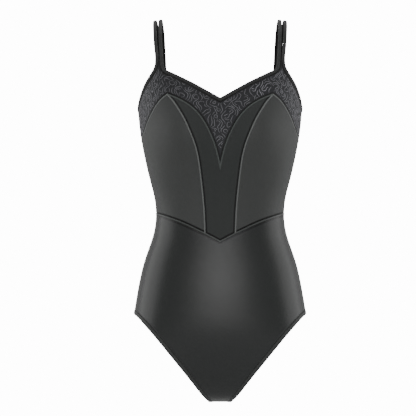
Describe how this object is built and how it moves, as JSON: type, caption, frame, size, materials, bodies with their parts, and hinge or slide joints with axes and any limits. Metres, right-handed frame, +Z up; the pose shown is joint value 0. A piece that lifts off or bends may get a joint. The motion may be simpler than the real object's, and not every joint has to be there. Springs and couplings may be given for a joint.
{
  "type": "camisole leotard",
  "caption": "Dark double-strap camisole dance leotard with a patterned V yoke, a matte centre-front panel, satin panels, a V waist seam and a satin brief, filled out with no wearer.",
  "frame": {"origin": "on the wearer's shoulders, midway between the tops of the straps", "axes": "+Z up, -Y the way the garment's front faces, +X the wearer's left"},
  "size_m": [0.3158, 0.2382, 0.6997],
  "materials": {
    "satin": "dark grey satin stretch nylon with a soft vertical sheen",
    "matte": "matte charcoal stretch jersey",
    "scroll_mesh": "stretch mesh with an embossed scroll pattern, slightly violet grey",
    "binding": "folded stretch binding, near black"
  },
  "bodies": {
    "root": {"front_yoke": "scroll_mesh", "centre_front_panel": "matte", "side_front_panel_left": "satin", "side_front_panel_right": "satin", "back_bodice": "satin", "brief_front": "satin", "brief_back": "satin", "neck_binding_front": "binding", "neck_binding_back": "binding", "armhole_binding_left": "binding", "armhole_binding_right": "binding", "strap_inner_left": "binding", "strap_inner_right": "binding", "strap_outer_left": "binding", "strap_outer_right": "binding", "leg_band_left": "satin", "leg_band_right": "satin"}
  },
  "joints": []
}
